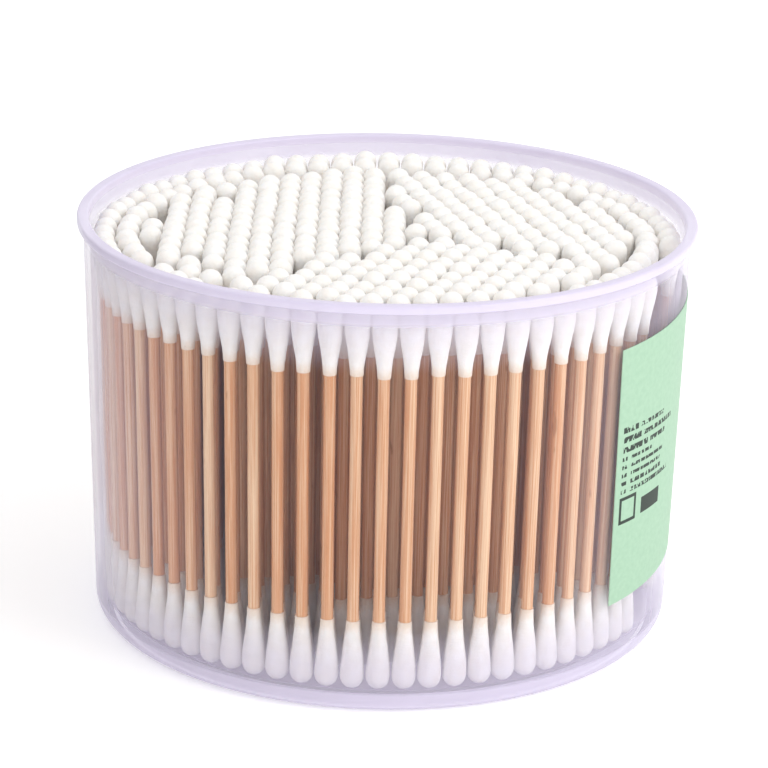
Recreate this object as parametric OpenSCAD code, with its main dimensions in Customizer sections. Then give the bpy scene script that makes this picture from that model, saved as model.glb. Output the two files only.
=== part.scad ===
// Open round tub of frosted plastic, packed upright with double-ended cotton swabs.
// The origin is the middle of the foot, on the table. +Z is up and -Y is the front.

/* [Tub] */
// Height from the table to the top of the rim
tub_h = 82.6; // [78:0.1:120]
// Outer diameter over the rim bead
rim_d = 123.2; // [90:0.1:150]
// How much the wall's radius shrinks from the rim down to the table
taper = 2.1; // [0:0.1:4]
// Thickness of the wall
wall = 1.2; // [0.8:0.1:2]
// How far the rim bead stands out past the wall
bead_out = 1.15; // [0.6:0.05:2.5]
// Height of the rim bead
bead_h = 1.8; // [1.2:0.1:4]
// Rounding of the bead's edges
bead_r = 0.5; // [0.2:0.05:0.55]
// Outer corner radius where the wall turns in to the foot
foot_r = 3.3; // [1.5:0.1:5]
// Width of the ring that the tub stands on, inside the corner
foot_land = 0.7; // [0.3:0.1:2]
// Height of the floor's underside above the table
floor_rise = 2.6; // [1:0.1:6]
// Thickness of the floor
floor_t = 1.4; // [0.8:0.1:3]
// Inner corner radius between floor and wall
inner_r = 1.5; // [0.5:0.1:2]

/* [Swab] */
// Length of a swab from tip to tip
swab_len = 75.4; // [65:0.1:76]
// How much longer or shorter one swab may be than the next
swab_vary = 0.35; // [0:0.05:0.6]
// Diameter of the wooden stick
stick_d = 2.3; // [1.8:0.1:2.6]
// Diameter of the cotton bud at the upper end
top_bud_d = 4.95; // [3.6:0.05:5]
// Length of the cotton bud at the upper end
top_bud_len = 12.2; // [9:0.1:16]
// Diameter of the cotton bud at the lower end
low_bud_d = 4.8; // [3.6:0.05:4.85]
// Length of the cotton bud at the lower end
low_bud_len = 14; // [10:0.1:18]
// Thickness of the cotton where it starts on the stick
neck_t = 0.18; // [0.1:0.02:0.4]
// Cotton past the end of the stick
cap_t = 2.4; // [1.5:0.1:3.5]

/* [Packing] */
// Room left between neighbouring buds
bud_gap = 0.05; // [0.03:0.01:0.5]
// Room left between the outer ring of swabs and the wall
side_gap = 0.12; // [0.05:0.01:1]
// Room left between the lower tips and the floor
seat_gap = 0.1; // [0.05:0.01:0.5]
// Room left between a stick and the cotton round it
bore_gap = 0.02; // [0.01:0.01:0.1]
// Number of rings that follow the wall
rings = 2; // [1:1:4]
// Bearing, from the front towards +X, where the open stretch of the outer ring starts
loose_from = 64; // [0:1:300]
// Width of that open stretch, in degrees
loose_arc = 19; // [0:1:60]

/* [Label] */
// Height of the paper label
label_h = 53; // [20:1:60]
// Width of the label, measured straight across
label_w = 57; // [20:1:80]
// Thickness of the paper
label_t = 0.16; // [0.1:0.02:0.4]
// Height of the label's middle above the table
label_z = 42.2; // [38:0.1:45]
// Bearing of the label's middle, from the front towards +X
label_bearing = 77.5; // [0:0.5:360]
// How far the label is stuck out of level
label_tilt = 1.5; // [-5:0.1:5]
// Film of glue between label and wall
label_gap = 0.03; // [0.01:0.01:0.1]

/* [Hidden] */
$fn = 96;
// Number of groups that the swabs are handed out in
groups = 13;
group_ids = [for (k = [1:groups]) str(k < 10 ? "0" : "", k)];

// Outer radius of the wall under the bead, and at the table
wall_top_r = rim_d / 2 - bead_out;
wall_foot_r = wall_top_r - taper;
floor_z = floor_rise + floor_t;
// The wall leans by this angle
lean = atan(taper / tub_h);

function outer_at(z) = wall_foot_r + taper * z / tub_h;
function inner_at(z) = outer_at(z) - wall;

// Points of an arc round c, from angle a to angle b in equal steps
arc_steps = 6;
function arc(c, r, a, b) =
    [for (i = [0:arc_steps]) let (t = a + (b - a) * i / arc_steps) c + r * [cos(t), sin(t)]];

// Half section of the tub, anticlockwise from the middle of its underside
foot_x = outer_at(foot_r) - foot_r;
recess_x = foot_x - foot_land;
underside = [[0, floor_rise], [recess_x, floor_rise], [recess_x, 0]];
outer_corner = arc([foot_x, foot_r], foot_r, -90, -lean);
bead_x = rim_d / 2 - bead_r;
bead_low = tub_h - bead_h;
bead_in = inner_at(tub_h);
bead = concat(
    [[outer_at(bead_low), bead_low]],
    arc([bead_x, bead_low + bead_r], bead_r, -90, 0),
    arc([bead_x, tub_h - bead_r], bead_r, 0, 90),
    arc([bead_in + bead_r, tub_h - bead_r], bead_r, 90, 180)
);
inside_z = floor_z + inner_r;
inside_corner = arc([inner_at(inside_z) - inner_r, inside_z], inner_r, 0, -90);
tub_section = concat(underside, outer_corner, bead, inside_corner, [[0, floor_z]]);

// The swabs stand on the floor and fan out with the wall. Places are kept as they are
// at the lower tips, and the upper tips lie on the same bearing, further out.
low_z = floor_z + seat_gap;
high_z = low_z + swab_len;
ring_r = inner_at(low_z + low_bud_d) - low_bud_d / 2 - side_gap;
ring_top_r = inner_at(high_z - top_bud_d) - top_bud_d / 2 - side_gap;
fan = ring_top_r / ring_r;
pitch = max(low_bud_d, top_bud_d / fan) + bud_gap;

function bearing(a) = [sin(a), -cos(a)];
function clear_of(p, others, room) = len([for (q = others) if (norm(p - q) < room) 1]) == 0;
function settle(placed, more, room, i = 0) =
    i == len(more) ? placed
    : settle(clear_of(more[i], placed, room) ? concat(placed, [more[i]]) : placed, more, room, i + 1);

// Spacing that the crowd is set out at, which leaves a little room to settle
elbow_room = 1.012 * pitch;
// Part of that room which is kept between two swabs before the crowd is pushed apart
squeeze = 0.95;

// Rings of swabs along the wall
function ring(r) =
    let (n = floor(180 / asin(elbow_room / 2 / r)))
    [for (i = [0:n - 1]) r * bearing(360 * i / n)];
wall_rings = [for (k = [0:rings - 1]) for (p = ring(ring_r - 0.93 * k * elbow_room)) p];

// Inside them the swabs lie close packed, in grains that are turned against each other.
// Each grain reaches a little past its own ground, as far as the others leave room.
core_r = ring_r - (rings - 0.5) * elbow_room;
grain_seeds = core_r * [[-0.6, 0.15], [0.12, -0.7], [0.6, 0.3]];
grain_turns = [0, -20, 17];
reach = 0.8 * pitch;
function is_ground_of(g, p) =
    norm(p) <= core_r && norm(p - grain_seeds[g]) <= min([for (s = grain_seeds) norm(p - s)]) + reach;
function grain(g) =
    let (n = ceil(2 * core_r / elbow_room), t = grain_turns[g])
    [for (i = [-n:n]) for (j = [-n:n])
        let (
            u = elbow_room * [i * sin(60), j + (i % 2 == 0 ? 0 : 0.5)],
            p = grain_seeds[g] + [u.x * cos(t) - u.y * sin(t), u.x * sin(t) + u.y * cos(t)]
        )
        if (is_ground_of(g, p)) p];
grains = [for (g = [0:len(grain_seeds) - 1]) for (p = grain(g)) p];
crowd = settle(wall_rings, grains, squeeze * elbow_room);

// The crowd is pushed apart, a little at each step, until nobody stands in another's place
function neighbours(all) =
    [for (p = all) [for (j = [0:len(all) - 1]) if (all[j] != p && norm(all[j] - p) < 1.6 * pitch) j]];
function inside(p) = norm(p) > ring_r ? p * ring_r / norm(p) : p;
function pushed(all, near) = [
    for (i = [0:len(all) - 1])
        let (shoves = [
            for (j = near[i])
                let (away = all[i] - all[j], l = norm(away))
                if (l < elbow_room) (elbow_room - l) / l * away
        ])
        len(shoves) == 0 ? all[i] : inside(all[i] + 0.45 * [for (s = shoves) 1] * shoves)
];
function relaxed(all, near, steps) = steps == 0 ? all : relaxed(pushed(all, near), near, steps - 1);
relax_steps = 60;
function is_loose(p) =
    norm(p) > ring_r - pitch / 3 && (atan2(p.x, -p.y) - loose_from + 720) % 360 < loose_arc;
stood = settle([], relaxed(crowd, neighbours(crowd), relax_steps), pitch);
places = [for (p = stood) if (!is_loose(p)) p];

count = len(places);
length_of = rands(swab_len - swab_vary, swab_len + swab_vary, count, 7);
function group_of(i) = floor(i * groups / count);
function members(g) = [for (i = [0:count - 1]) if (group_of(i) == g) i];

// Stands its children on the floor at swab i's place, along that swab's own axis
module at_swab(i) {
    out = norm(places[i]) * (fan - 1);
    tilt = atan(out / swab_len);
    translate([places[i].x, places[i].y, low_z])
        rotate([0, tilt, atan2(places[i].y, places[i].x)])
            children();
}

// A bud wound on the end of a stick: neck at z = 0, round tip at z = len
module bud(d, length) {
    head_r = d / 2;
    side_r = 0.97 * head_r;
    head_z = length - head_r;
    bore_r = stick_d / 2 + bore_gap;
    neck_r = bore_r + neck_t;
    swell = side_r - neck_r;
    rotate_extrude()
        intersection() {
            union() {
                polygon([
                    [0, length - cap_t], [bore_r, length - cap_t], [bore_r, 0], [neck_r, 0],
                    [neck_r + 0.12 * swell, 0.16 * length], [neck_r + 0.52 * swell, 0.4 * length],
                    [neck_r + 0.86 * swell, 0.6 * length], [side_r, head_z], [0, head_z + head_r / 2]
                ]);
                translate([0, head_z]) difference() {
                    circle(r = head_r);
                    translate([-d, -d]) square([2 * d, d]);
                }
            }
            square([d, length + 1]);
        }
}

module tub() {
    color([0.87, 0.84, 0.95, 0.55]) rotate_extrude() polygon(tub_section);
}

module label() {
    low = label_z - label_h;
    high = label_z + label_h;
    in_face = label_gap;
    out_face = label_gap + label_t;
    color([0.75, 0.93, 0.79])
        intersection() {
            rotate_extrude()
                polygon([
                    [outer_at(low) + in_face, low], [outer_at(low) + out_face, low],
                    [outer_at(high) + out_face, high], [outer_at(high) + in_face, high]
                ]);
            translate([0, 0, label_z])
                rotate([label_tilt, 0, label_bearing - 90])
                    translate([0, -label_w / 2, -label_h / 2]) cube([rim_d, label_w, label_h]);
        }
}

module sticks(g) {
    for (i = members(g))
        color([0.89, 0.7, 0.52]) at_swab(i)
            translate([0, 0, cap_t]) cylinder(d = stick_d, h = length_of[i] - 2 * cap_t);
}

module top_buds(g) {
    for (i = members(g))
        color([0.98, 0.97, 0.95]) at_swab(i)
            translate([0, 0, length_of[i] - top_bud_len]) bud(top_bud_d, top_bud_len);
}

module lower_buds(g) {
    for (i = members(g))
        color([0.96, 0.94, 0.96]) at_swab(i)
            translate([0, 0, low_bud_len]) rotate([180, 0, 0]) bud(low_bud_d, low_bud_len);
}

tub();
label();
for (g = [0:groups - 1]) {
    sticks(g);
    top_buds(g);
    lower_buds(g);
}
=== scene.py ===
# %% [markdown]
# A round tub of frosted plastic, packed with wooden cotton swabs.
#
# The CAD model is loaded first and never moved. Everything that is made here is placed from it:
# the tub is turned again with a finer outline, and each swab is read from its own CAD solids,
# so that no place has to be written down twice.

# %% Load the frame
import math

import bpy
import numpy as np
from mathutils import Matrix, Vector


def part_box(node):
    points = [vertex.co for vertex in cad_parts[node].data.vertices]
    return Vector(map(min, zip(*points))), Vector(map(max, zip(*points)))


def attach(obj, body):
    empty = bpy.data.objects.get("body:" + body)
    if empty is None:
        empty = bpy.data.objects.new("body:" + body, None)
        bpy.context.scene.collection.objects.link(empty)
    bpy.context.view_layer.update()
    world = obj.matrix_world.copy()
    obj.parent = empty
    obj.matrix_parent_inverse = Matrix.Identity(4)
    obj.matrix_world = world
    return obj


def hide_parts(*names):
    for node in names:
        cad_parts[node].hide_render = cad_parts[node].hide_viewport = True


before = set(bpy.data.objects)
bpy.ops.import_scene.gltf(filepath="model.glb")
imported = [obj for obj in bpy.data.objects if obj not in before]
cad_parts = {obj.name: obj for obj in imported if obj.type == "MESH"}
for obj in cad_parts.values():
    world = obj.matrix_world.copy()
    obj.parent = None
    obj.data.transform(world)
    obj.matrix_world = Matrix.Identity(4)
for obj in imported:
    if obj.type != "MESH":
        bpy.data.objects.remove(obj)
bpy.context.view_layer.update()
MM = 0.001
dice = np.random.default_rng(20)

# %% [markdown]
# The camera comes next, because every later choice is judged through it. Its place was found by
# matching the ellipses of the rim and the foot, so the tub fills the frame as in the photograph.
# A long lens far away keeps the sides nearly upright. The small roll tips the tub as pictured.

# %% Camera
FRAME_PX = 768
SENSOR = 36.0
FOCAL_PX = 3237
CAMERA_PLACE = Vector((0, -0.6191, 0.2622))
PITCH = 0.3355
ROLL = 0.0215

forward = Vector((0, math.cos(PITCH), -math.sin(PITCH)))
level_right = Vector((1, 0, 0))
level_up = Vector((0, math.sin(PITCH), math.cos(PITCH)))
right = math.cos(ROLL) * level_right + math.sin(ROLL) * level_up
up = math.cos(ROLL) * level_up - math.sin(ROLL) * level_right

camera_data = bpy.data.cameras.new("camera")
camera_data.sensor_width = SENSOR
camera_data.lens = FOCAL_PX * SENSOR / FRAME_PX
camera_data.clip_start = 0.01
camera = bpy.data.objects.new("camera", camera_data)
aim = Matrix((right, up, -forward)).transposed().to_4x4()
camera.matrix_world = Matrix.Translation(CAMERA_PLACE) @ aim
bpy.context.collection.objects.link(camera)
bpy.context.scene.camera = camera
print("Lens:", round(camera_data.lens, 1), "mm")

# %% [markdown]
# Studio light. Product shots of white things use big soft sources: a bright room all round, one
# large softbox from the right front for shape, and a weak one from the left to open the shadows.
# A grey card outside the picture keeps some of the room's light off the left side, because the
# photographed tub is darker there.

# %% Lights and floor
ROOM_LIGHT = 0.95
KEY_WATTS = 2.0
KEY_PLACE = Vector((0.6, -0.4, 0.5))
KEY_SIZE = 0.45
FILL_WATTS = 0.2
FILL_PLACE = Vector((-0.6, -0.5, 0.35))
FILL_SIZE = 0.6
TUB_MIDDLE = Vector((0, 0, 0.04))
FLOOR_HALF = 4.0
CARD_X = -0.24
CARD_CORNERS = ((-0.30, 0), (0.20, 0), (0.20, 0.14), (-0.30, 0.14))


def softbox(name, place, size, watts):
    """A square area light that looks at the middle of the tub."""
    data = bpy.data.lights.new(name, "AREA")
    data.size = size
    data.energy = watts
    light = bpy.data.objects.new(name, data)
    light.location = place
    light.rotation_euler = (TUB_MIDDLE - light.location).to_track_quat("-Z", "Y").to_euler()
    bpy.context.collection.objects.link(light)


def staged_sheet(name, corners):
    """One flat face that belongs to the studio, not to the object."""
    mesh = bpy.data.meshes.new(name)
    mesh.from_pydata(corners, [], [(0, 1, 2, 3)])
    sheet = bpy.data.objects.new(name, mesh)
    bpy.context.collection.objects.link(sheet)
    return mesh


softbox("key", KEY_PLACE, KEY_SIZE, KEY_WATTS)
softbox("fill", FILL_PLACE, FILL_SIZE, FILL_WATTS)

world = bpy.data.worlds.new("room")
world.use_nodes = True
world.node_tree.nodes["Background"].inputs["Color"].default_value = (1, 1, 1, 1)
world.node_tree.nodes["Background"].inputs["Strength"].default_value = ROOM_LIGHT
bpy.context.scene.world = world
bpy.context.scene.view_settings.view_transform = "Standard"

floor_corners = [(x * FLOOR_HALF, y * FLOOR_HALF, 0) for x, y in ((-1, -1), (1, -1), (1, 1), (-1, 1))]
floor_mesh = staged_sheet("floor", floor_corners)
card_mesh = staged_sheet("card", [(CARD_X, y, z) for y, z in CARD_CORNERS])

# %% [markdown]
# Materials are made from nodes. These two helpers keep the cells below short: one makes a
# material and hands back its Principled shader, and the other adds and wires a node in one call.
# The floor and the card get theirs at once. The floor glows a little, so that it stays white.

# %% Material helpers


def new_material(name, **settings):
    """A material and its Principled shader, with plain values set on the shader's sockets."""
    material = bpy.data.materials.new(name)
    material.use_nodes = True
    shader = material.node_tree.nodes["Principled BSDF"]
    for socket, value in settings.items():
        shader.inputs[socket.replace("_", " ")].default_value = value
    return material, shader


def add(tree, kind, inputs=None, **settings):
    """A node with its settings, and its inputs given as values or as other nodes' outputs."""
    node = tree.nodes.new(kind)
    for key, value in settings.items():
        setattr(node, key, value)
    for key, value in (inputs or {}).items():
        if isinstance(value, bpy.types.NodeSocket):
            tree.links.new(value, node.inputs[key])
        else:
            node.inputs[key].default_value = value
    return node


floor_material, _ = new_material(
    "pale_floor", Base_Color=(0.97, 0.97, 0.97, 1), Roughness=0.9,
    Emission_Color=(1, 1, 1, 1), Emission_Strength=0.25)
floor_mesh.materials.append(floor_material)
card_material, _ = new_material("grey_card", Base_Color=(0.15, 0.14, 0.15, 1), Roughness=0.9)
card_mesh.materials.append(card_material)
print("Materials so far:", [material.name for material in bpy.data.materials])

# %% [markdown]
# Round things are turned on a lathe: an outline of radius and height is swept round an axis. The
# first and last places of an outline lie on the axis, so the mesh is closed there by a fan.
# Each place on the surface also keeps a "stuff" vector, its place in the piece's own material, so
# that grain and fibre run along a swab whichever way it leans, and differ from swab to swab.

# %% Turned meshes
SHARP = math.radians(50)


def turned(outline, segments):
    """Points and faces of an outline of (radius, height) pairs, swept round the Z axis."""
    outline = np.asarray(outline, float)
    angles = np.arange(segments) * 2 * math.pi / segments
    rings = [
        np.column_stack([r * np.cos(angles), r * np.sin(angles), np.full(segments, z)])
        for r, z in outline[1:-1]
    ]
    poles = np.array([(0, 0, outline[0, 1]), (0, 0, outline[-1, 1])])
    points = np.concatenate(rings + [poles])
    first_pole = len(points) - 2
    last_pole = len(points) - 1
    last_ring = (len(rings) - 1) * segments
    faces = []
    for k in range(segments):
        after = (k + 1) % segments
        faces.append((first_pole, after, k))
        for ring in range(0, last_ring, segments):
            faces.append((ring + k, ring + after, ring + after + segments, ring + k + segments))
        faces.append((last_ring + k, last_ring + after, last_pole))
    return points, faces


def mesh_piece(name, material, slot, replaces, points, faces, vectors=None, numbers=None):
    """A smooth mesh that rides on the body and stands for the named CAD nodes."""
    mesh = bpy.data.meshes.new(name)
    mesh.from_pydata(np.asarray(points).tolist(), [], faces)
    mesh.polygons.foreach_set("use_smooth", [True] * len(mesh.polygons))
    for key, values in (vectors or {}).items():
        mesh.attributes.new(key, "FLOAT_VECTOR", "POINT").data.foreach_set("vector", np.ravel(values))
    for key, values in (numbers or {}).items():
        mesh.attributes.new(key, "FLOAT", "POINT").data.foreach_set("value", np.ravel(values))
    mesh.materials.append(material)
    mesh.update()
    mesh.set_sharp_from_angle(angle=SHARP)
    piece = bpy.data.objects.new(name, mesh)
    bpy.context.collection.objects.link(piece)
    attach(piece, "root")
    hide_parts(*replaces)
    return piece


trial_points, trial_faces = turned([(0, 0), (1, 0), (1, 1), (0, 1)], 8)
print("A turned drum of 8 segments has", len(trial_points), "points and", len(trial_faces), "faces")

# %% [markdown]
# Where does each swab stand? A node of the frame holds about 33 separate sticks. Their meshes are
# split into loose parts, and the middles of a stick's lower and upper half of points give its
# axis. The buds' lengths and widths come from the bud nodes, in the same way.

# %% Read the swabs from the frame
SAME_PLACE_DIGITS = 6


def loose_parts(node):
    """The points of each separate solid in a CAD node, as arrays."""
    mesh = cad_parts[node].data
    count = len(mesh.vertices)
    points = np.empty(count * 3)
    mesh.vertices.foreach_get("co", points)
    points = points.reshape(-1, 3)
    unique, inverse = np.unique(np.round(points, SAME_PLACE_DIGITS), axis=0, return_inverse=True)
    inverse = inverse.ravel()
    parent = list(range(len(unique)))

    def root(i):
        while parent[i] != i:
            parent[i] = parent[parent[i]]
            i = parent[i]
        return i

    for edge in mesh.edges:
        a, b = root(inverse[edge.vertices[0]]), root(inverse[edge.vertices[1]])
        if a != b:
            parent[a] = b
    owner = np.array([root(i) for i in range(len(unique))])
    return [unique[owner == o] for o in np.unique(owner)]


def stick_axis(part):
    """Lower and upper end of a stick, the direction between them, and the stick's radius."""
    middle = part[:, 2].mean()
    low = part[part[:, 2] < middle].mean(axis=0)
    high = part[part[:, 2] > middle].mean(axis=0)
    along = (high - low) / np.linalg.norm(high - low)
    across = (part - low) - np.outer((part - low) @ along, along)
    return low, high, along, np.linalg.norm(across, axis=1).max()


def nearest_part(parts, place):
    """The loose part whose middle lies nearest to a place, seen from above."""
    middles = np.array([p.mean(axis=0)[:2] for p in parts])
    return parts[int(np.argmin(np.linalg.norm(middles - place[:2], axis=1)))]


def span(part, low, along):
    """Where a bud starts and ends along its swab's axis, and its widest radius."""
    reach = (part - low) @ along
    across = (part - low) - np.outer(reach, along)
    return reach.min(), reach.max(), np.linalg.norm(across, axis=1).max()


GROUPS = sorted(name[len("sticks_"):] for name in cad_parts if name.startswith("sticks_"))
swabs = {}
for group in GROUPS:
    top_parts = loose_parts("top_buds_" + group)
    low_parts = loose_parts("lower_buds_" + group)
    swabs[group] = []
    for part in loose_parts("sticks_" + group):
        low, high, along, radius = stick_axis(part)
        swabs[group].append({
            "low": low, "along": along, "radius": radius,
            "length": np.linalg.norm(high - low),
            "top": span(nearest_part(top_parts, high), low, along),
            "lower": span(nearest_part(low_parts, low), low, along),
        })
print("Swabs:", sum(len(s) for s in swabs.values()), "in", len(GROUPS), "groups")

# %% [markdown]
# Wood grain, the wraps of wound cotton and the faint flow marks of moulded plastic are all the
# same thing to a shader: noise that is stretched more one way than the other. So one node group
# makes it for every material. It takes a place and how fine the noise is along each axis, and it
# gives back a value that hovers round one half.

# %% Streaks group


def make_streaks():
    """The node group itself: stretch the place, then look the noise up there."""
    group = bpy.data.node_groups.new("streaks", "ShaderNodeTree")
    group.interface.new_socket("Place", in_out="INPUT", socket_type="NodeSocketVector")
    group.interface.new_socket("Fineness", in_out="INPUT", socket_type="NodeSocketVector")
    group.interface.new_socket("Detail", in_out="INPUT", socket_type="NodeSocketFloat")
    group.interface.new_socket("Value", in_out="OUTPUT", socket_type="NodeSocketFloat")
    given = add(group, "NodeGroupInput")
    factors = {0: given.outputs["Place"], 1: given.outputs["Fineness"]}
    stretched = add(group, "ShaderNodeVectorMath", factors, operation="MULTIPLY").outputs[0]
    shape = {"Vector": stretched, "Detail": given.outputs["Detail"], "Scale": 1.0, "Roughness": 0.55}
    noise = add(group, "ShaderNodeTexNoise", shape)
    add(group, "NodeGroupOutput", {"Value": noise.outputs["Fac"]})
    return group


STREAKS = make_streaks()


def streaks(tree, place, fineness, detail=2.0):
    """The streaks group in a material, with its own fineness in repeats per metre."""
    inputs = {"Place": place, "Fineness": fineness, "Detail": detail}
    return add(tree, "ShaderNodeGroup", inputs, node_tree=STREAKS).outputs["Value"]


print("Node groups:", [group.name for group in bpy.data.node_groups])

# %% [markdown]
# The materials below share a few more one-line nodes: stretch a value onto another range, mix two
# colours, combine two values, read a number kept on the mesh, and turn a height into relief.

# %% Small node helpers


def remap(tree, value, low, high, to_low, to_high):
    """A value carried from one range onto another, and held inside it."""
    limits = {"From Min": low, "From Max": high, "To Min": to_low, "To Max": to_high}
    return add(tree, "ShaderNodeMapRange", {"Value": value, **limits}).outputs["Result"]


def blend_colours(tree, factor, first, second):
    """The first colour at factor 0, the second at factor 1."""
    mix = add(tree, "ShaderNodeMix", {0: factor}, data_type="RGBA", blend_type="MIX")
    colour_a = mix.inputs[6]
    colour_b = mix.inputs[7]
    for socket, value in ((colour_a, first), (colour_b, second)):
        if isinstance(value, bpy.types.NodeSocket):
            tree.links.new(value, socket)
        else:
            socket.default_value = value
    return mix.outputs[2]


def combine(tree, kind, first, second):
    """Two values put together by a math node of the given kind."""
    return add(tree, "ShaderNodeMath", {0: first, 1: second}, operation=kind).outputs[0]


def attribute(tree, name, output):
    """A number or vector that was kept on the mesh under a name."""
    kept = add(tree, "ShaderNodeAttribute", attribute_name=name, attribute_type="GEOMETRY")
    return kept.outputs[output]


def bump(tree, height, strength, distance, onto):
    """Relief of a shader, from a height of 0 to 1 that stands for a distance in metres."""
    node = add(tree, "ShaderNodeBump", {"Height": height, "Strength": strength, "Distance": distance})
    tree.links.new(node.outputs["Normal"], onto.inputs["Normal"])


print("Sockets of the streaks group:", [item.name for item in STREAKS.interface.items_tree])

# %% [markdown]
# Cotton is white, but never one white: the skin near the neck is so thin that the wood warms it,
# and the wraps of the winding catch light as fine ridges. Light also soaks in a little, which
# keeps the shaded side soft.

# %% Cotton
COTTON_WHITE = (0.96, 0.94, 0.92, 1)
COTTON_CREAM = (0.93, 0.895, 0.85, 1)
THIN_COTTON = (0.86, 0.72, 0.60, 1)
cotton, cotton_shader = new_material(
    "cotton", Roughness=0.9, Subsurface_Weight=0.35, Subsurface_Radius=(1, 0.9, 0.82),
    Subsurface_Scale=0.0012, Specular_IOR_Level=0.15, Sheen_Weight=0.2, Sheen_Roughness=0.5)
tree = cotton.node_tree
stuff = attribute(tree, "stuff", "Vector")
wraps = streaks(tree, stuff, (420, 420, 2600), 3.0)
fuzz = streaks(tree, stuff, (2600, 2600, 2600), 3.0)
mottle = remap(tree, streaks(tree, stuff, (500, 500, 500)), 0.35, 0.65, 0, 1)
whites = blend_colours(tree, mottle, COTTON_WHITE, COTTON_CREAM)
frayed = combine(tree, "ADD", attribute(tree, "rise", "Fac"), remap(tree, fuzz, 0.3, 0.7, -0.04, 0.04))
skin = remap(tree, frayed, 0.0, 0.2, 0, 1)
tree.links.new(blend_colours(tree, skin, THIN_COTTON, whites), cotton_shader.inputs["Base Color"])
relief = combine(tree, "ADD", wraps, fuzz)
bump(tree, relief, 0.55, 0.00016, cotton_shader)
print("Cotton nodes:", len(tree.nodes))

# %% [markdown]
# Bamboo sticks are turned from split cane. The grain runs dead straight along the stick, the tone
# shifts from stick to stick, and a few carry a brown fleck where a node of the cane was.

# %% Bamboo
BAMBOO_PALE = (0.88, 0.63, 0.42, 1)
BAMBOO_WARM = (0.70, 0.34, 0.17, 1)
BAMBOO_DARK = (0.45, 0.21, 0.10, 1)
bamboo, bamboo_shader = new_material("bamboo", Roughness=0.5, Specular_IOR_Level=0.3)
tree = bamboo.node_tree
stuff = attribute(tree, "stuff", "Vector")
grain = streaks(tree, stuff, (4200, 4200, 45), 4.0)
tone = attribute(tree, "tone", "Fac")
grain_shade = remap(tree, grain, 0.38, 0.62, -0.25, 0.65)
shade = combine(tree, "ADD", grain_shade, remap(tree, tone, 0, 1, 0, 0.7))
cane = blend_colours(tree, remap(tree, shade, 0, 1, 0, 1), BAMBOO_PALE, BAMBOO_WARM)
flecks = remap(tree, streaks(tree, stuff, (420, 420, 150), 2.0), 0.69, 0.75, 0, 0.6)
tree.links.new(blend_colours(tree, flecks, cane, BAMBOO_DARK), bamboo_shader.inputs["Base Color"])
tree.links.new(remap(tree, grain, 0.3, 0.7, 0.4, 0.65), bamboo_shader.inputs["Roughness"])
bump(tree, combine(tree, "SUBTRACT", grain, flecks), 0.5, 0.00012, bamboo_shader)
print("Bamboo nodes:", len(tree.nodes))

# %% [markdown]
# A cotton bud is wound on a turning stick: it starts as a thin skin, swells in an S-shaped slope,
# and ends in a blunt round head. The outline is that slope and a rounded cap, and each bud
# gets its own small lumps, because no two windings are alike.

# %% Bud and stick shapes
HEAD_SHARE = 0.99
BLUNT = 0.93
SLOW_WAVES = ((1, 1.5), (2, 3.0), (3, 5.0))
# A little over 1 + 1/2 + 1/3, the most that the three waves can add up to
WAVE_LIMIT = 1.9


def smooth_step(x):
    """An S-shaped rise from 0 to 1."""
    x = np.clip(x, 0, 1)
    return x * x * (3 - 2 * x)


def bud_outline(length, neck, head, slope_rings, cap_rings):
    """Radius and height of a bud from its neck at height 0 to its tip."""
    head_z = length - head
    z = np.linspace(0, head_z, slope_rings)
    neck_pole = [(0, 0)]
    tip_pole = [(0, length)]
    side = HEAD_SHARE * head
    slope = np.column_stack([neck + (side - neck) * smooth_step(z / head_z), z])
    t = np.linspace(0, math.pi / 2, cap_rings + 1)[1:-1]
    cap = np.column_stack([side * np.cos(t) ** BLUNT, head_z + head * np.sin(t)])
    return np.concatenate([neck_pole, slope, cap, tip_pole])


def placed(points, origin, along):
    """Points of a piece that stands along Z, set at origin and leaned onto another axis."""
    turn = Vector((0, 0, 1)).rotation_difference(Vector(along)).to_matrix()
    return points @ np.array(turn).T + origin


def lumpy(points, length, amount):
    """Points pushed in or out by a few slow waves with random phases."""
    angle = np.arctan2(points[:, 1], points[:, 0])
    z = points[:, 2] / length
    wave = np.zeros(len(points))
    for turns, climbs in SLOW_WAVES:
        phase = dice.uniform(0, 2 * math.pi, 2)
        wave += np.sin(turns * angle + climbs * z * 2 * math.pi + phase[0]) / turns
    scale = 1 - amount * (0.5 + 0.5 * wave / WAVE_LIMIT)
    return points * np.column_stack([scale, scale, np.ones(len(points))])


sample_outline = bud_outline(length=12 * MM, neck=1.3 * MM, head=2.4 * MM, slope_rings=9, cap_rings=7)
print("A bud's outline has", len(sample_outline), "places, widest", sample_outline[:, 0].max())

# %% [markdown]
# Now the swabs are made. One mesh holds all the buds, or all the sticks, of one CAD node, so the
# scene stays light. Each part carries its own numbers for the materials above.

# %% Make the swabs
TOP_BUD = {"segments": 20, "slope_rings": 9, "cap_rings": 7}
LOWER_BUD = {"segments": 16, "slope_rings": 8, "cap_rings": 5}
STICK_SEGMENTS = 14
STICK_RINGS = 9
NECK_T = 0.18 * MM
LUMPS = 0.06
UNEVEN = 0.04


def gather(parts):
    """Several swabs' (points, faces, stuff, rise, tone) joined into one set of arrays."""
    faces = []
    start = 0
    for part in parts:
        faces.extend([tuple(v + start for v in face) for face in part[1]])
        start += len(part[0])
    tone = np.concatenate([np.full(len(part[0]), part[4]) for part in parts])
    points, stuff, rise = (np.concatenate([part[k] for part in parts]) for k in (0, 2, 3))
    return points, faces, {"stuff": stuff}, {"rise": rise, "tone": tone}


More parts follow.
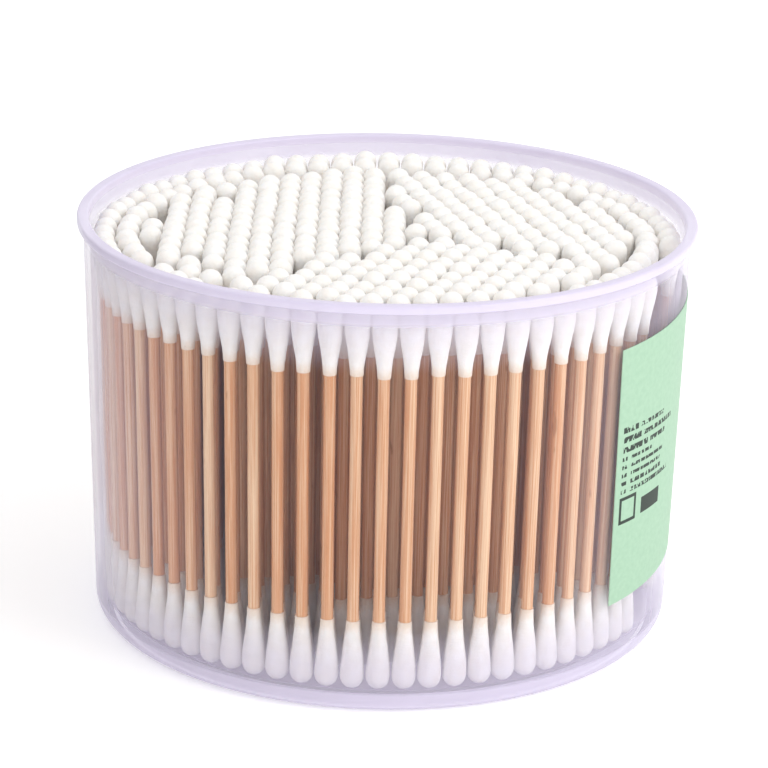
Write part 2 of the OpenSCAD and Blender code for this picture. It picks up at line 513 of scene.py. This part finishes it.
def make_buds(group, end, segments, slope_rings, cap_rings):
    """All the buds of a group at one end, as one piece."""
    parts = []
    for swab in swabs[group]:
        start, stop, head = swab[end]
        length = stop - start
        neck = swab["radius"] + NECK_T
        outline = bud_outline(length, neck, head, slope_rings, cap_rings)
        points, faces = turned(outline, segments)
        points = lumpy(points, length, LUMPS)
        stuff = points + dice.uniform(-1, 1, 3)
        if end == "top":
            world_points = placed(points, swab["low"] + swab["along"] * start, swab["along"])
        else:
            flipped = points * np.array([1, -1, -1])
            world_points = placed(flipped, swab["low"] + swab["along"] * stop, swab["along"])
        parts.append((world_points, faces, stuff, points[:, 2] / length, dice.uniform()))
    name = ("top_buds_" if end == "top" else "lower_buds_") + group
    return mesh_piece("cotton_" + name, cotton, "cotton", [name], *gather(parts))


def make_sticks(group):
    """All the sticks of a group as one piece, each a little uneven."""
    parts = []
    for swab in swabs[group]:
        z = np.linspace(0, swab["length"], STICK_RINGS)
        radius = swab["radius"] * (1 - dice.uniform(0, UNEVEN, len(z)))
        outline = np.column_stack([[0, *radius, 0], [0, *z, z[-1]]])
        points, faces = turned(outline, STICK_SEGMENTS)
        stuff = points + dice.uniform(-1, 1, 3)
        rise = points[:, 2] / swab["length"]
        stick = placed(points, swab["low"], swab["along"])
        parts.append((stick, faces, stuff, rise, dice.uniform()))
    return mesh_piece("bamboo_sticks_" + group, bamboo, "bamboo", ["sticks_" + group], *gather(parts))


for group in GROUPS:
    make_buds(group, "top", **TOP_BUD)
    make_buds(group, "lower", **LOWER_BUD)
    make_sticks(group)

# %% [markdown]
# Frosted plastic is hard for a path tracer if it is modelled as real rough glass. Here it is a
# lilac skin that is mostly see-through: clear where the wall is looked at squarely and the swabs
# touch it, milky where it is looked at edge-on. Near the rim and the foot nothing touches the wall
# and the plastic is thicker, so there the skin closes up. The veils over the cotton stay under a
# quarter of full cover, because the cotton behind a thicker veil came out blurred.

# %% Frosted plastic
CLEAR = 0.02
EDGE_ON = 0.62
EDGE_CURVE = 2.6
# Heights in metres between which a cover grows from nothing to its full share
RIM_FADE = (0.0806, 0.0811)
LIP_FADE = (0.0772, 0.0788)
UPPER_FADE = (0.0680, 0.0790)
LOWER_FADE = (0.0180, 0.0090)
FOOT_FADE = (0.0050, 0.0038)
RIM_COVER = 0.9
LIP_COVER = 0.5
FOOT_COVER = 0.6
VEIL = 0.235
frosted, frosted_shader = new_material(
    "frosted_plastic", Base_Color=(0.75, 0.69, 0.86, 1), Roughness=0.3, Specular_IOR_Level=0.5)
tree = frosted.node_tree
place = add(tree, "ShaderNodeTexCoord").outputs["Object"]
height = add(tree, "ShaderNodeSeparateXYZ", {0: place}).outputs["Z"]
facing = add(tree, "ShaderNodeLayerWeight", {"Blend": 0.5}).outputs["Facing"]
cover = remap(tree, combine(tree, "POWER", facing, EDGE_CURVE), 0, 1, CLEAR, EDGE_ON)
bands = (
    (RIM_FADE, RIM_COVER), (LIP_FADE, LIP_COVER), (UPPER_FADE, VEIL), (LOWER_FADE, VEIL),
    (FOOT_FADE, FOOT_COVER))
for fade, share in bands:
    cover = combine(tree, "MAXIMUM", cover, remap(tree, height, *fade, 0, share))
cloudy = remap(tree, streaks(tree, place, (60, 60, 25)), 0.3, 0.7, 0.9, 1.05)
skin = combine(tree, "MULTIPLY", cover, cloudy)
tree.links.new(remap(tree, skin, 0, 1, 0, 1), frosted_shader.inputs["Alpha"])
bump(tree, streaks(tree, place, (160, 160, 90), 3.0), 0.25, 0.0004, frosted_shader)
print("Frosted plastic nodes:", len(tree.nodes))

# %% [markdown]
# The tub is turned again from the same measures as the CAD section, with more segments and rounder
# corners. Its wall leans out a little, the rim ends in a bead, and the floor is raised off the
# table. The smaller of the CAD box's two widths sets the rim, so the mesh stays inside the box.

# %% Tub
tub_low, tub_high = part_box("tub")
TUB_H = tub_high[2]
RIM_R = (tub_high[1] - tub_low[1]) / 2
BEAD_OUT = 1.15 * MM
BEAD_H = 1.8 * MM
BEAD_R = 0.5 * MM
WALL = 1.2 * MM
TAPER = 2.1 * MM
FOOT_R = 3.3 * MM
FOOT_LAND = 0.7 * MM
FLOOR_RISE = 2.6 * MM
FLOOR_T = 1.4 * MM
INNER_R = 1.5 * MM
LEAN = math.atan(TAPER / TUB_H)
TUB_SEGMENTS = 256
FOOT_STEPS = 10
BEAD_STEPS = 6
WALL_STEPS = 12


def wall_radius(z):
    """Outer radius of the wall at a height."""
    return RIM_R - BEAD_OUT - TAPER * (1 - z / TUB_H)


def arc(centre, radius, start, stop, steps):
    """Places on an arc, for the rounded corners of the section."""
    t = np.linspace(start, stop, steps)
    return [(centre[0] + radius * math.cos(a), centre[1] + radius * math.sin(a)) for a in t]


def tub_outline():
    """Half section of the tub, from the middle of its underside to the middle of its floor."""
    quarter = math.pi / 2
    foot_x = wall_radius(FOOT_R) - FOOT_R
    recess_x = foot_x - FOOT_LAND
    bead_x = RIM_R - BEAD_R
    bead_low = TUB_H - BEAD_H
    bead_in = wall_radius(TUB_H) - WALL
    floor_z = FLOOR_RISE + FLOOR_T
    inside_x = wall_radius(floor_z + INNER_R) - WALL - INNER_R
    outline = [(0, FLOOR_RISE), (recess_x, FLOOR_RISE), (recess_x, 0)]
    outline += arc((foot_x, FOOT_R), FOOT_R, -quarter, -LEAN, FOOT_STEPS)
    outline += [(wall_radius(z), z) for z in np.linspace(FOOT_R * 2, bead_low, WALL_STEPS)]
    outline += arc((bead_x, bead_low + BEAD_R), BEAD_R, -quarter, 0, BEAD_STEPS)
    outline += arc((bead_x, TUB_H - BEAD_R), BEAD_R, 0, quarter, BEAD_STEPS)
    outline += arc((bead_in + BEAD_R, TUB_H - BEAD_R), BEAD_R, quarter, 2 * quarter, BEAD_STEPS)
    inner_heights = np.linspace(bead_low, floor_z + INNER_R * 2, WALL_STEPS)
    outline += [(wall_radius(z) - WALL, z) for z in inner_heights]
    outline += arc((inside_x, floor_z + INNER_R), INNER_R, 0, -quarter, BEAD_STEPS)
    outline += [(0, floor_z)]
    return outline


tub_points, tub_faces = turned(tub_outline(), TUB_SEGMENTS)
mesh_piece("frosted_tub", frosted, "frosted_plastic", ["tub"], tub_points, tub_faces)
print("Tub faces:", len(tub_faces), "rim radius in mm:", round(RIM_R / MM, 2))

# %% [markdown]
# The label's print is made of plain rectangles. A second node group answers one question for each
# of them: is this place on the sheet inside the block? Masks like this can be combined freely.

# %% Block group


def make_block():
    """The node group itself: how much room is left to the nearest side, and is it above 0?"""
    group = bpy.data.node_groups.new("block", "ShaderNodeTree")
    for name in ("Place", "Middle", "Half size"):
        group.interface.new_socket(name, in_out="INPUT", socket_type="NodeSocketVector")
    group.interface.new_socket("Mask", in_out="OUTPUT", socket_type="NodeSocketFloat")
    given = add(group, "NodeGroupInput").outputs
    ends = {0: given["Place"], 1: given["Middle"]}
    offset = add(group, "ShaderNodeVectorMath", ends, operation="SUBTRACT").outputs[0]
    distance = add(group, "ShaderNodeVectorMath", {0: offset}, operation="ABSOLUTE").outputs[0]
    edges = {0: given["Half size"], 1: distance}
    room = add(group, "ShaderNodeVectorMath", edges, operation="SUBTRACT").outputs[0]
    parts = add(group, "ShaderNodeSeparateXYZ", {0: room}).outputs
    least = combine(group, "MINIMUM", parts["X"], parts["Y"])
    add(group, "NodeGroupOutput", {"Mask": combine(group, "GREATER_THAN", least, 0)})
    return group


BLOCK = make_block()


def block(tree, place, left, right, middle, thick):
    """Mask of a rectangle on the sheet, its sides given in millimetres."""
    centre = ((left + right) / 2 * MM, middle * MM, 0)
    half = ((right - left) / 2 * MM, thick / 2 * MM, 0)
    inputs = {"Place": place, "Middle": centre, "Half size": half}
    return add(tree, "ShaderNodeGroup", inputs, node_tree=BLOCK).outputs["Mask"]


print("Node groups:", [group.name for group in bpy.data.node_groups])

# %% [markdown]
# The paper is mint green with faint fibres. Its print is generic: rows of short dark dashes where
# a label has small type, a framed square and a plain block below them. The print leans a little
# against the sheet, and only the outer side of the sheet carries it.

# %% Label paper
MINT = (0.36, 0.555, 0.40, 1)
MINT_PALE = (0.40, 0.595, 0.435, 1)
INK = (0.03, 0.045, 0.035, 1)
PRINT_LEAN = 0.055
PRINT_LEFT = 27 * MM
DASH_FINENESS = (1500, 550, 0)
DASH_GAP = 0.44
# Left side, right side, middle height and thickness of each block, in millimetres of the sheet
TYPE_ROWS = [
    (-27.1, -22.4, 9.6, 1.2), (-21.6, -11.5, 9.6, 0.9), (-26.9, -21.2, 7.6, 1.2), (-20.3, -6.8, 7.6, 1.0),
    (-26.9, -18.6, 5.5, 1.2), (-17.6, -10.5, 5.5, 1.0), (-27.0, -25.5, 3.6, 0.8), (-24.2, -16.7, 3.6, 0.7),
    (-27.0, -25.5, 1.9, 0.8), (-24.2, -11.2, 1.9, 0.7), (-27.0, -25.5, 0.2, 0.8), (-24.2, -12.1, 0.2, 0.7),
    (-27.0, -25.5, -1.5, 0.8), (-24.2, -11.8, -1.5, 0.9), (-27.0, -25.5, -3.2, 0.8),
    (-24.2, -7.6, -3.2, 0.9)]
FRAME_OUTER = (-27.2, -21.8, -7.2, 5.6)
FRAME_INNER = (-26.5, -22.5, -7.2, 4.2)
PLAIN_BLOCK = (-19.8, -11.6, -7.9, 3.4)
paper, paper_shader = new_material("label_paper", Roughness=0.55, Specular_IOR_Level=0.3)
tree = paper.node_tree
sheet = attribute(tree, "sheet", "Vector")
sheet_parts = add(tree, "ShaderNodeSeparateXYZ", {0: sheet}).outputs
leaned = combine(tree, "ADD", sheet_parts["Y"], combine(tree, "MULTIPLY", sheet_parts["X"], PRINT_LEAN))
level = combine(tree, "ADD", leaned, PRINT_LEFT * PRINT_LEAN)
place = add(tree, "ShaderNodeCombineXYZ", {"X": sheet_parts["X"], "Y": level}).outputs[0]
rows = 0.0
for row in TYPE_ROWS:
    rows = combine(tree, "MAXIMUM", rows, block(tree, place, *row))
marks = combine(tree, "GREATER_THAN", streaks(tree, place, DASH_FINENESS, 1.0), DASH_GAP)
dashes = combine(tree, "MULTIPLY", rows, marks)
framed = combine(tree, "SUBTRACT", block(tree, place, *FRAME_OUTER), block(tree, place, *FRAME_INNER))
plain = block(tree, place, *PLAIN_BLOCK)
ink = combine(tree, "MAXIMUM", combine(tree, "MAXIMUM", dashes, framed), plain)
outside = combine(tree, "MULTIPLY", ink, sheet_parts["Z"])
fibres = streaks(tree, sheet, (900, 900, 0), 4.0)
mint = blend_colours(tree, remap(tree, fibres, 0.35, 0.65, 0, 1), MINT, MINT_PALE)
tree.links.new(blend_colours(tree, outside, mint, INK), paper_shader.inputs["Base Color"])
bump(tree, fibres, 0.15, 0.00005, paper_shader)
print("Label paper nodes:", len(tree.nodes))

# %% [markdown]
# The label is a thin sheet bent round the wall. A grid of places across and up the flat sheet is
# tilted a little, then each place is carried round to the wall's surface at its own height. The
# grid is used twice, for the outer and the inner side, and a band of faces closes the edges.

# %% Label sheet
LABEL_W = 57 * MM
LABEL_H = 53 * MM
LABEL_Z = 42.2 * MM
LABEL_BEARING = math.radians(77.5)
LABEL_TILT = math.radians(1.5)
LABEL_GAP = 0.03 * MM
LABEL_T = 0.16 * MM
COLUMNS = 72
ROWS = 24


def sheet_points(across, upward, lift):
    """Places of the tilted sheet on the wall, at a distance from it."""
    a = across * math.cos(LABEL_TILT) - upward * math.sin(LABEL_TILT)
    z = LABEL_Z + across * math.sin(LABEL_TILT) + upward * math.cos(LABEL_TILT)
    radius = wall_radius(z) + lift
    bearing = LABEL_BEARING + np.arcsin(a / radius)
    return np.column_stack([radius * np.sin(bearing), -radius * np.cos(bearing), z])


columns_at = np.linspace(-LABEL_W / 2, LABEL_W / 2, COLUMNS)
rows_at = np.linspace(-LABEL_H / 2, LABEL_H / 2, ROWS)
across, upward = np.meshgrid(columns_at, rows_at)
across = across.ravel()
upward = upward.ravel()
count = len(across)
outer_side = sheet_points(across, upward, LABEL_GAP + LABEL_T)
inner_side = sheet_points(across, upward, LABEL_GAP)
points = np.concatenate([outer_side, inner_side])
sides = [np.column_stack([across, upward, np.full(count, side)]) for side in (1.0, 0.0)]
faces = []
for row in range(ROWS - 1):
    for column in range(COLUMNS - 1):
        k = row * COLUMNS + column
        faces.append((k, k + 1, k + 1 + COLUMNS, k + COLUMNS))
        faces.append((count + k + COLUMNS, count + k + 1 + COLUMNS, count + k + 1, count + k))
bottom = list(range(COLUMNS))
right_edge = [row * COLUMNS + COLUMNS - 1 for row in range(1, ROWS)]
top = list(range(ROWS * COLUMNS - 2, (ROWS - 1) * COLUMNS - 1, -1))
left_edge = [row * COLUMNS for row in range(ROWS - 2, 0, -1)]
border = bottom + right_edge + top + left_edge
for k, after in zip(border, border[1:] + border[:1]):
    faces.append((k, k + count, after + count, after))
sheet_vectors = {"sheet": np.concatenate(sides)}
mesh_piece("label_sheet", paper, "label_paper", ["label"], points, faces, sheet_vectors)
print("Box of the sheet:", points.min(axis=0), points.max(axis=0))
